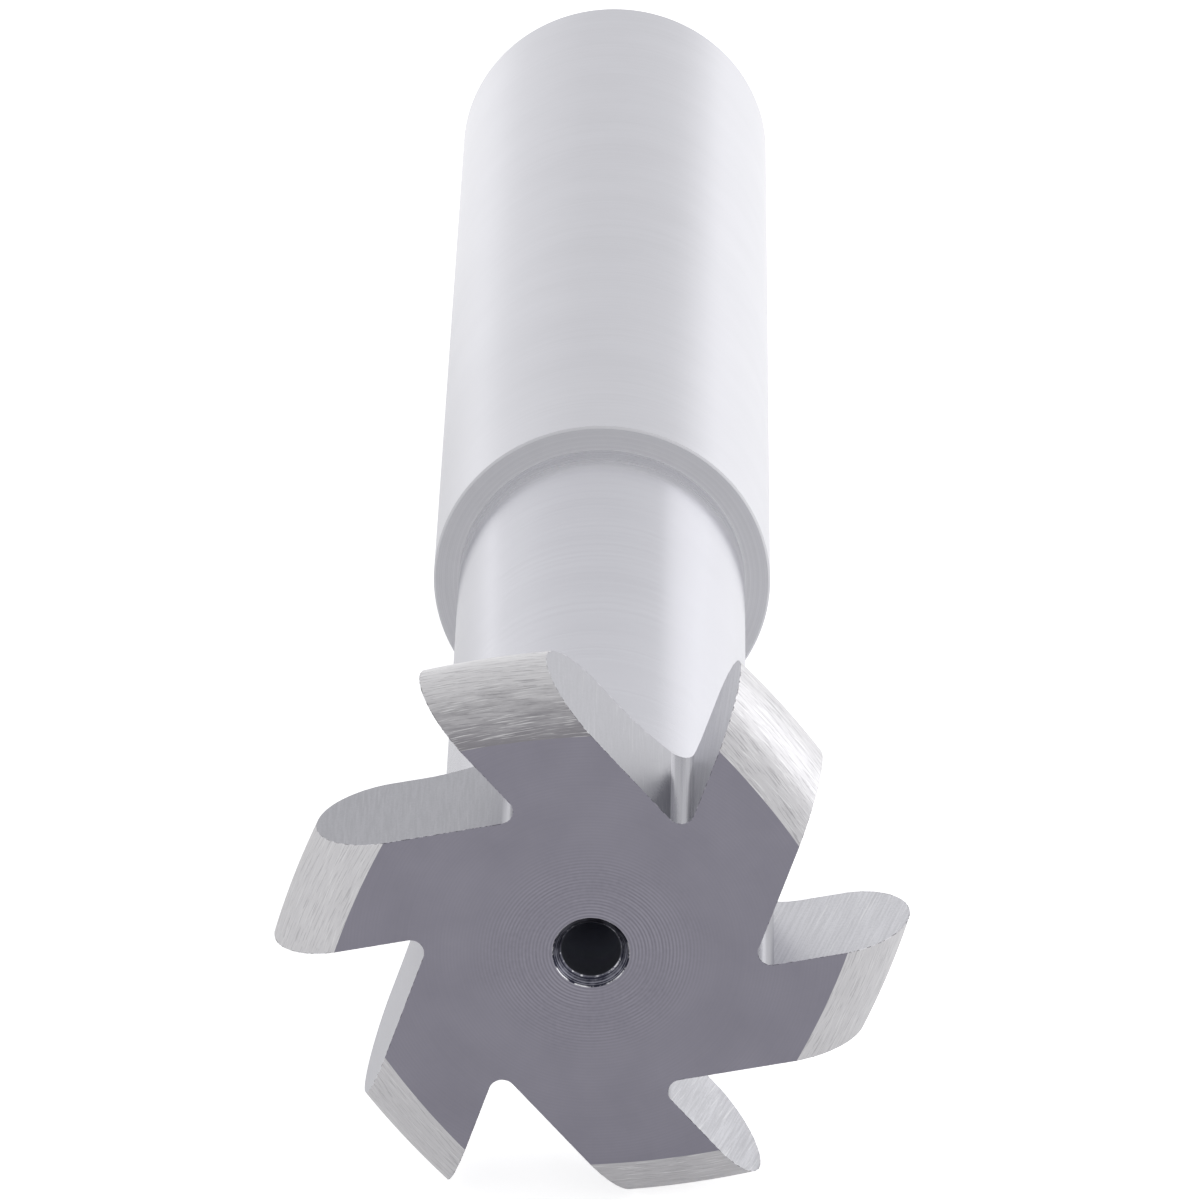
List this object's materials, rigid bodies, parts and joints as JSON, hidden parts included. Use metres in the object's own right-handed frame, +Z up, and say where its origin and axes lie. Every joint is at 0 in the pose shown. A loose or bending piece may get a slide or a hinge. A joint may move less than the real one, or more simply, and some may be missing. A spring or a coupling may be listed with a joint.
{
  "type": "convex radius cutter",
  "caption": "Shank-type milling cutter whose straight teeth carry a convex half-round form, on a reduced neck and a plain cylindrical shank.",
  "frame": {"origin": "centre of the shank's rear face, on the cutter's axis", "axes": "+Y along the axis and out of the shank's rear end, so the cutting end points to -Y; +Z up as the cutter lies; +X to the right seen from the cutting end"},
  "size_m": [0.028, 0.0956, 0.0256],
  "materials": {
    "ground_steel": "satin, ground all over, with a darker turned front face"
  },
  "bodies": {
    "root": {"radius_cutter": "ground_steel"}
  },
  "joints": []
}
